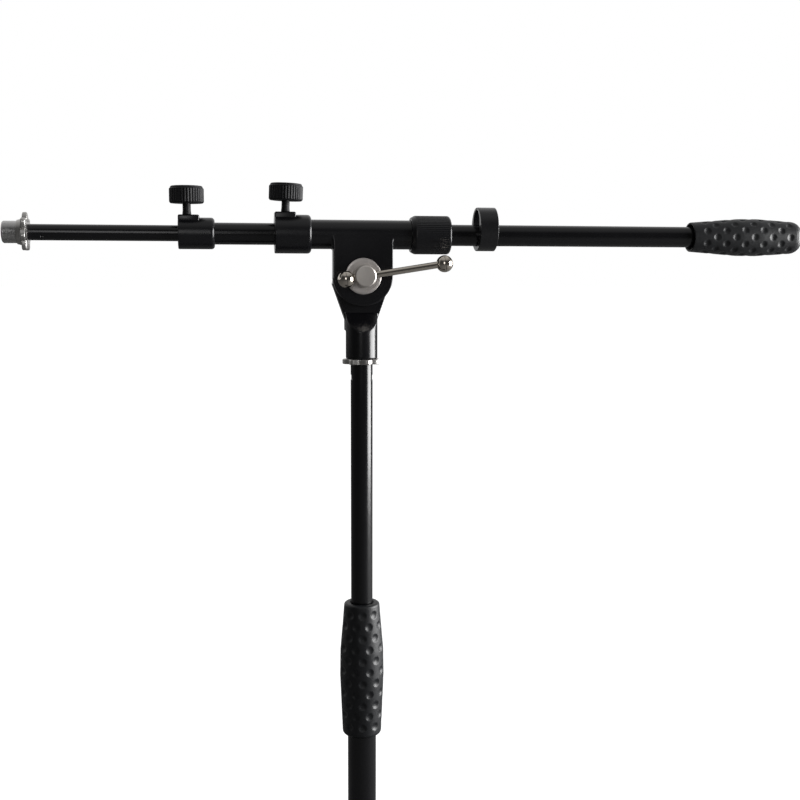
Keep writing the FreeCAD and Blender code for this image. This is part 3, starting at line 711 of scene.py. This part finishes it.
# ---- clamp collars ----
# Two moulded collars carry the clamp knobs. Each is a round body with a flat boss on top,
# and its inner end is rounded over.
def clamp_collar(name, node, round_radius, bore, opening, seat, boss_length, body):
    """Round collar with a raised flat boss at its outer end, opened wider from the seat on."""
    low, high = size(node)
    collar = turned(name, rounded([
        (bore, seat), (bore, low.x, 0.3), (round_radius, low.x, 0.7), (round_radius, high.x, 2.6),
        (opening, high.x, 0.5), (opening, seat), (bore, seat)]), along_boom)
    boss_half = 7.0
    boss = brick((low.x + 0.05, -boss_half, boom_height + opening + 0.6),
                 (low.x + boss_length, boss_half, high.z))
    edges = boss.modifiers.new("edges", "BEVEL")
    edges.width = 1.1 * mm
    edges.segments = 4
    bpy.context.view_layer.objects.active = boss
    bpy.ops.object.modifier_apply(modifier=edges.name)
    collar = settle(carve(collar, boss, "UNION"), Matrix.Identity(4), 30.0)
    fitted(collar, body, [node], collar_plastic)


collar_high = size("boom_collar")[1]
clamp_collar("boom_collar_moulded", "boom_collar", collar_high.y, boom_radius + 0.3,
             boom_radius + 0.4, collar_high.x - 8.0, 15.5, "boom_holder")
extension_radius = size("extension_tube")[1].y
clamp_collar("extension_collar_moulded", "extension_collar", size("extension_collar")[1].y,
             extension_radius + 0.2, boom_radius + 0.02, boom[0].x - 0.02, 15.3, "boom")


# ---- clamp knobs ----
# Fluted knobs moulded on their screws, with a smooth crown. The stem that shows
# between boss and knob flares a little at its foot.
def flutes(count, above, depth, start, end):
    """Wave of round grooves down the rim of a spun knob."""
    def wave(radius, angle, station):
        if radius > above and start < station < end:
            fade = min(1.0, (station - start) / 0.7, (end - station) / 0.7)
            radius -= depth * fade * (1 - abs(math.sin(count * angle / 2)) ** 1.3)
        return radius, angle, station
    return wave


knob_plastic = moulded("knob_plastic", (0.0045, 0.0045, 0.0055), (0.5, 0.6), 0.25)


def clamp_knob(name, knob_node, screw_node, body, lean):
    """Knob and screw about an upright axis, leaning a little on its loose screw."""
    low, high = size(knob_node)
    middle = (low.x + high.x) / 2
    rim = (high.x - low.x) / 2
    up = 8.2
    screw = 2.5
    neck = 2.95
    place = (Matrix.Translation((middle * mm, 0, (low.z - up) * mm))
             @ Matrix.Rotation(math.radians(lean), 4, "Y"))
    knob = turned(name, divided(rounded([
        (0, up), (rim - 0.9, up, 0.6), (rim - 0.05, up + 1.0, 0.5), (rim - 0.05, up + 10.4, 0.8),
        (rim - 0.8, up + 11.0, 0.4), (rim - 1.1, up + 12.3, 1.0), (0, up + 12.9)]), 0.7), place, 432,
        flutes(36, rim - 0.7, 0.45, up + 0.3, up + 10.6))
    fitted(knob, body, [knob_node], knob_plastic)
    stem = turned(name + "_stem", rounded([
        (0, -6.0), (screw, -6.0, 0.3), (screw, 0.2), (3.3, 0.2, 0.3), (3.1, 1.6, 1.0),
        (neck, 3.0), (neck, up + 0.3), (0, up + 0.3)]), place, 96)
    fitted(stem, body, [screw_node], knob_plastic)


clamp_knob("boom_knob_fluted", "boom_knob", "boom_knob_screw", "boom_knob", 2.2)
clamp_knob("extension_knob_fluted", "extension_knob", "extension_knob_screw", "extension_knob", 0.0)


# ---- boom tube ----
# Coated steel tube, 16 mm across. Its left end sits in the extension's collar,
# its right end holds the counterweight.
boom_tube = tube("boom_tube_coated", "boom_tube", boom_radius - tube_wall, 0.3, along_boom, "x")
fitted(boom_tube, "boom", ["boom_tube"], tube_coat)


# ---- cable clip ----
# A moulded loop that slides on the boom tube. The cable lies in the larger hole above the
# tube, and goes in through a slit in the top of the loop.
clip_low, clip_high = size("cable_clip")
clip_radius = (clip_high.z - clip_low.z) / 2
clip_rise = (clip_high.z + clip_low.z) / 2
clip_middle = (clip_low.x + clip_high.x) / 2
clip_half = (clip_high.x - clip_low.x) / 2
cable_radius = 10.0
cable_rise = clip_high.z - 2.0 - cable_radius
slit_half = 0.6
clip = drum(clip_radius, (clip_middle, 0, clip_rise), "x", 2 * clip_half, 160)
clip = carve(clip, drum(boom_radius + 0.1, (clip_middle, 0, boom_height), "x", 30.0))
clip = carve(clip, drum(cable_radius, (clip_middle, 0, cable_rise), "x", 30.0))
clip = carve(clip, brick((clip_low.x - 1.0, -slit_half, cable_rise),
                         (clip_high.x + 1.0, slit_half, cable_rise + 30.0)))
clip = die_cast("cable_clip_moulded", clip, 0.3, 5)
clip_plastic = moulded("clip_plastic", (0.006, 0.006, 0.007), (0.24, 0.32))
fitted(clip, "cable_clip", ["cable_clip"], clip_plastic)


# ---- counterweight and grip ----
# A steel sleeve on the boom's end is the counterweight. A rubber cover is bonded on it:
# narrow at its mouth, fullest past its middle, rounded at its end, and dimpled all over.
dressed(zinc_plate, "counterweight")
hand_low, hand_high = size("boom_grip")
weight = size("counterweight")[1].y
hand_full = hand_high.y
hand_length = hand_high.x - hand_low.x
weight_bore = weight + 0.05
hand_mouth = boom_radius + 0.1
hand_outline = divided(rounded([
    (0, hand_high.x - 4.9), (weight_bore, hand_high.x - 4.9), (weight_bore, hand_low.x + 8.0),
    (hand_mouth, hand_low.x + 8.0), (hand_mouth, hand_low.x + 5.0, 0.6),
    (weight - 1.0, hand_low.x, 0.6), (weight + 0.3, hand_low.x, 0.6),
    (hand_full - 0.1, hand_low.x + hand_length * 0.42, 60.0),
    (hand_full, hand_low.x + hand_length * 0.6, 30.0),
    (weight + 1.0, hand_high.x, 8.5), (0, hand_high.x),
]), 0.45)
hand_dimples = dimples(16, 15.1, hand_low.x + 9.0, hand_high.x - 13.0, hand_low.x + 17.6,
                       math.radians(-90.0), 5.6, 0.9, weight + 0.2)
boom_grip = turned("boom_rubber_grip", hand_outline, along_boom, 224, hand_dimples)
fitted(boom_grip, "boom", ["boom_grip"], grip_rubber)


# ---- extension tube ----
# A thinner coated tube slides inside the boom tube. Its left end is dented once
# from the side to hold the threaded end.
extension_inner = extension_radius - 1.0
extension = tube("extension_tube_coated", "extension_tube", extension_inner, 0.5, along_boom, "x")
extension_low = size("extension_tube")[0]
bpy.ops.object.select_all(action="DESELECT")
bpy.ops.mesh.primitive_uv_sphere_add(segments=48, ring_count=24, radius=1.5 * mm)
dent_angle = math.radians(-30.0)
dent_reach = extension_radius + 0.9
dent = shift(bpy.context.object, Vector((
    extension_low.x + 9.5, -dent_reach * math.cos(dent_angle),
    boom_height + dent_reach * math.sin(dent_angle))) * mm)
extension = settle(carve(extension, dent), Matrix.Identity(4))
fitted(extension, "extension", ["extension_tube"], tube_coat)


# ---- threaded end ----
# A turned zinc-plated stud with the standard microphone thread, 27 turns to the inch,
# and a chamfered end.
stud_low, stud_high = size("mic_thread_end")
stud_radius = stud_high.y
turn_pitch = 25.4 / 27
turn_half_depth = 0.09
stud_neck = stud_radius - 0.5
mic_ring_low, mic_ring_high = size("mic_lock_ring")


def screw_thread(radius, angle, station):
    """Wave that cuts the helical thread into the stud."""
    if radius > stud_radius - 1.0 and station < mic_ring_low.x:
        turns = (station / turn_pitch + angle / math.tau) % 1.0
        radius = min(radius, stud_radius - turn_half_depth * (1 - math.cos(math.tau * turns)))
    return min(radius, stud_radius), angle, station


stud_zinc = metal("turned_zinc", (0.52, 0.51, 0.50), (0.42, 0.42, 0.42), (0.28, 0.38),
                  (0, 0, boom_height * mm), (3000, 0, 0), 0.006)
stud = turned("mic_thread_turned", divided(rounded([
    (0, stud_low.x), (stud_radius - 0.9, stud_low.x, 0.2), (stud_radius, stud_low.x + 0.9, 0.2),
    (stud_radius, mic_ring_low.x), (stud_neck, mic_ring_low.x), (stud_neck, mic_ring_high.x),
    (extension_inner, mic_ring_high.x), (extension_inner, stud_high.x, 0.5), (0, stud_high.x),
]), 0.14), along_boom, 120, screw_thread)
fitted(stud, "extension", ["mic_thread_end"], stud_zinc)


# ---- microphone lock ring ----
# A die-cast ring with a short round flange and seven rounded lobes. It locks the
# microphone's clip on the thread.
ring_bore = stud_radius - 0.45
ring_radius = max(mic_ring_high.y, -mic_ring_low.y)
flange_end = mic_ring_low.x + 3.8
mic_ring = turned("mic_star_ring", divided(rounded([
    (ring_bore, mic_ring_low.x + 1.0), (ring_bore, mic_ring_low.x, 0.3),
    (8.5, mic_ring_low.x, 0.8), (9.5, flange_end, 0.4), (ring_radius, flange_end + 0.3, 0.9),
    (ring_radius, mic_ring_high.x - 0.4, 1.2), (11.0, mic_ring_high.x, 0.8),
    (ring_bore, mic_ring_high.x, 0.4), (ring_bore, mic_ring_low.x + 1.0),
]), 0.5), along_boom, 294, lobes(7, 9.6, 4.0, flange_end + 0.1))
fitted(mic_ring, "mic_ring", ["mic_lock_ring"], cast_silver)


# ---- studio ----
# A floor that is white to the camera and dull to all else, and surroundings that are bright
# behind and overhead. A wide soft light stands to the right, a smaller one hangs in front.
bpy.ops.object.select_all(action="DESELECT")
bpy.ops.mesh.primitive_plane_add(size=60.0)
floor = bpy.context.object
floor.name = "studio_floor"
floor_paint, nodes, links, shader = blank("floor_paint")
shader.inputs["Roughness"].default_value = 0.9
shader.inputs["Specular IOR Level"].default_value = 0.1
shader.inputs["Emission Color"].default_value = (1, 1, 1, 1)
shader.inputs["Base Color"].default_value = (0.15, 0.15, 0.15, 1)
rays = nodes.new("ShaderNodeLightPath")
links.new(rays.outputs["Is Camera Ray"], shader.inputs["Emission Strength"])
floor.data.materials.append(floor_paint)

world = bpy.data.worlds.new("studio")
bpy.context.scene.world = world
world.use_nodes = True
nodes, links = world.node_tree.nodes, world.node_tree.links
nodes.clear()
sky = nodes.new("ShaderNodeOutputWorld")
rays = nodes.new("ShaderNodeLightPath")
direction = nodes.new("ShaderNodeTexCoord")
parts = nodes.new("ShaderNodeSeparateXYZ")
links.new(direction.outputs["Generated"], parts.inputs["Vector"])
behind = nodes.new("ShaderNodeMapRange")
behind.interpolation_type = "SMOOTHSTEP"
behind.inputs["From Min"].default_value = -0.35
behind.inputs["From Max"].default_value = 0.6
behind.inputs["To Min"].default_value = 0.07
behind.inputs["To Max"].default_value = 1.0
links.new(parts.outputs["Y"], behind.inputs["Value"])
above = nodes.new("ShaderNodeMapRange")
above.interpolation_type = "SMOOTHSTEP"
above.inputs["From Min"].default_value = 0.45
above.inputs["From Max"].default_value = 0.95
above.inputs["To Min"].default_value = 0.0
above.inputs["To Max"].default_value = 0.6
links.new(parts.outputs["Z"], above.inputs["Value"])
brightest = nodes.new("ShaderNodeMath")
brightest.operation = "MAXIMUM"
links.new(behind.outputs["Result"], brightest.inputs[0])
links.new(above.outputs["Result"], brightest.inputs[1])
seen = nodes.new("ShaderNodeBackground")
seen.inputs["Strength"].default_value = 1.0
seen.inputs["Color"].default_value = (1, 1, 1, 1)
lit = nodes.new("ShaderNodeBackground")
links.new(brightest.outputs[0], lit.inputs["Strength"])
either = nodes.new("ShaderNodeMixShader")
links.new(rays.outputs["Is Camera Ray"], either.inputs["Fac"])
links.new(lit.outputs[0], either.inputs[1])
links.new(seen.outputs[0], either.inputs[2])
links.new(either.outputs[0], sky.inputs["Surface"])


def soft_light(name, place, target, wide, tall, power):
    """Rectangular soft light that faces a point."""
    lamp = bpy.data.lights.new(name, "AREA")
    lamp.shape = "RECTANGLE"
    lamp.size = wide
    lamp.size_y = tall
    lamp.energy = power
    light = bpy.data.objects.new(name, lamp)
    bpy.context.scene.collection.objects.link(light)
    light.location = place
    light.rotation_euler = (Vector(target) - Vector(place)).to_track_quat("-Z", "Y").to_euler()


soft_light("right_light", (2.18, -0.32, 0.6), (0, 0, 0.5), 1.8, 1.6, 170)
soft_light("front_light", (-0.4, -1.9, 0.94), (-0.19, 0, 0.6), 0.5, 0.8, 3.0)

lens = bpy.data.cameras.new("camera")
lens.lens = 50.4
camera = bpy.data.objects.new("camera", lens)
bpy.context.scene.collection.objects.link(camera)
camera.location = (-0.1044, -0.8352, 0.5762)
yaw = Matrix.Rotation(math.radians(-9.1), 3, "Z")
pitch = Matrix.Rotation(math.radians(90 - 6.77), 3, "X")
roll = Matrix.Rotation(math.radians(0.185), 3, "Z")
camera.rotation_euler = (yaw @ pitch @ roll).to_euler()
bpy.context.scene.camera = camera
bpy.context.scene.view_settings.view_transform = "Standard"
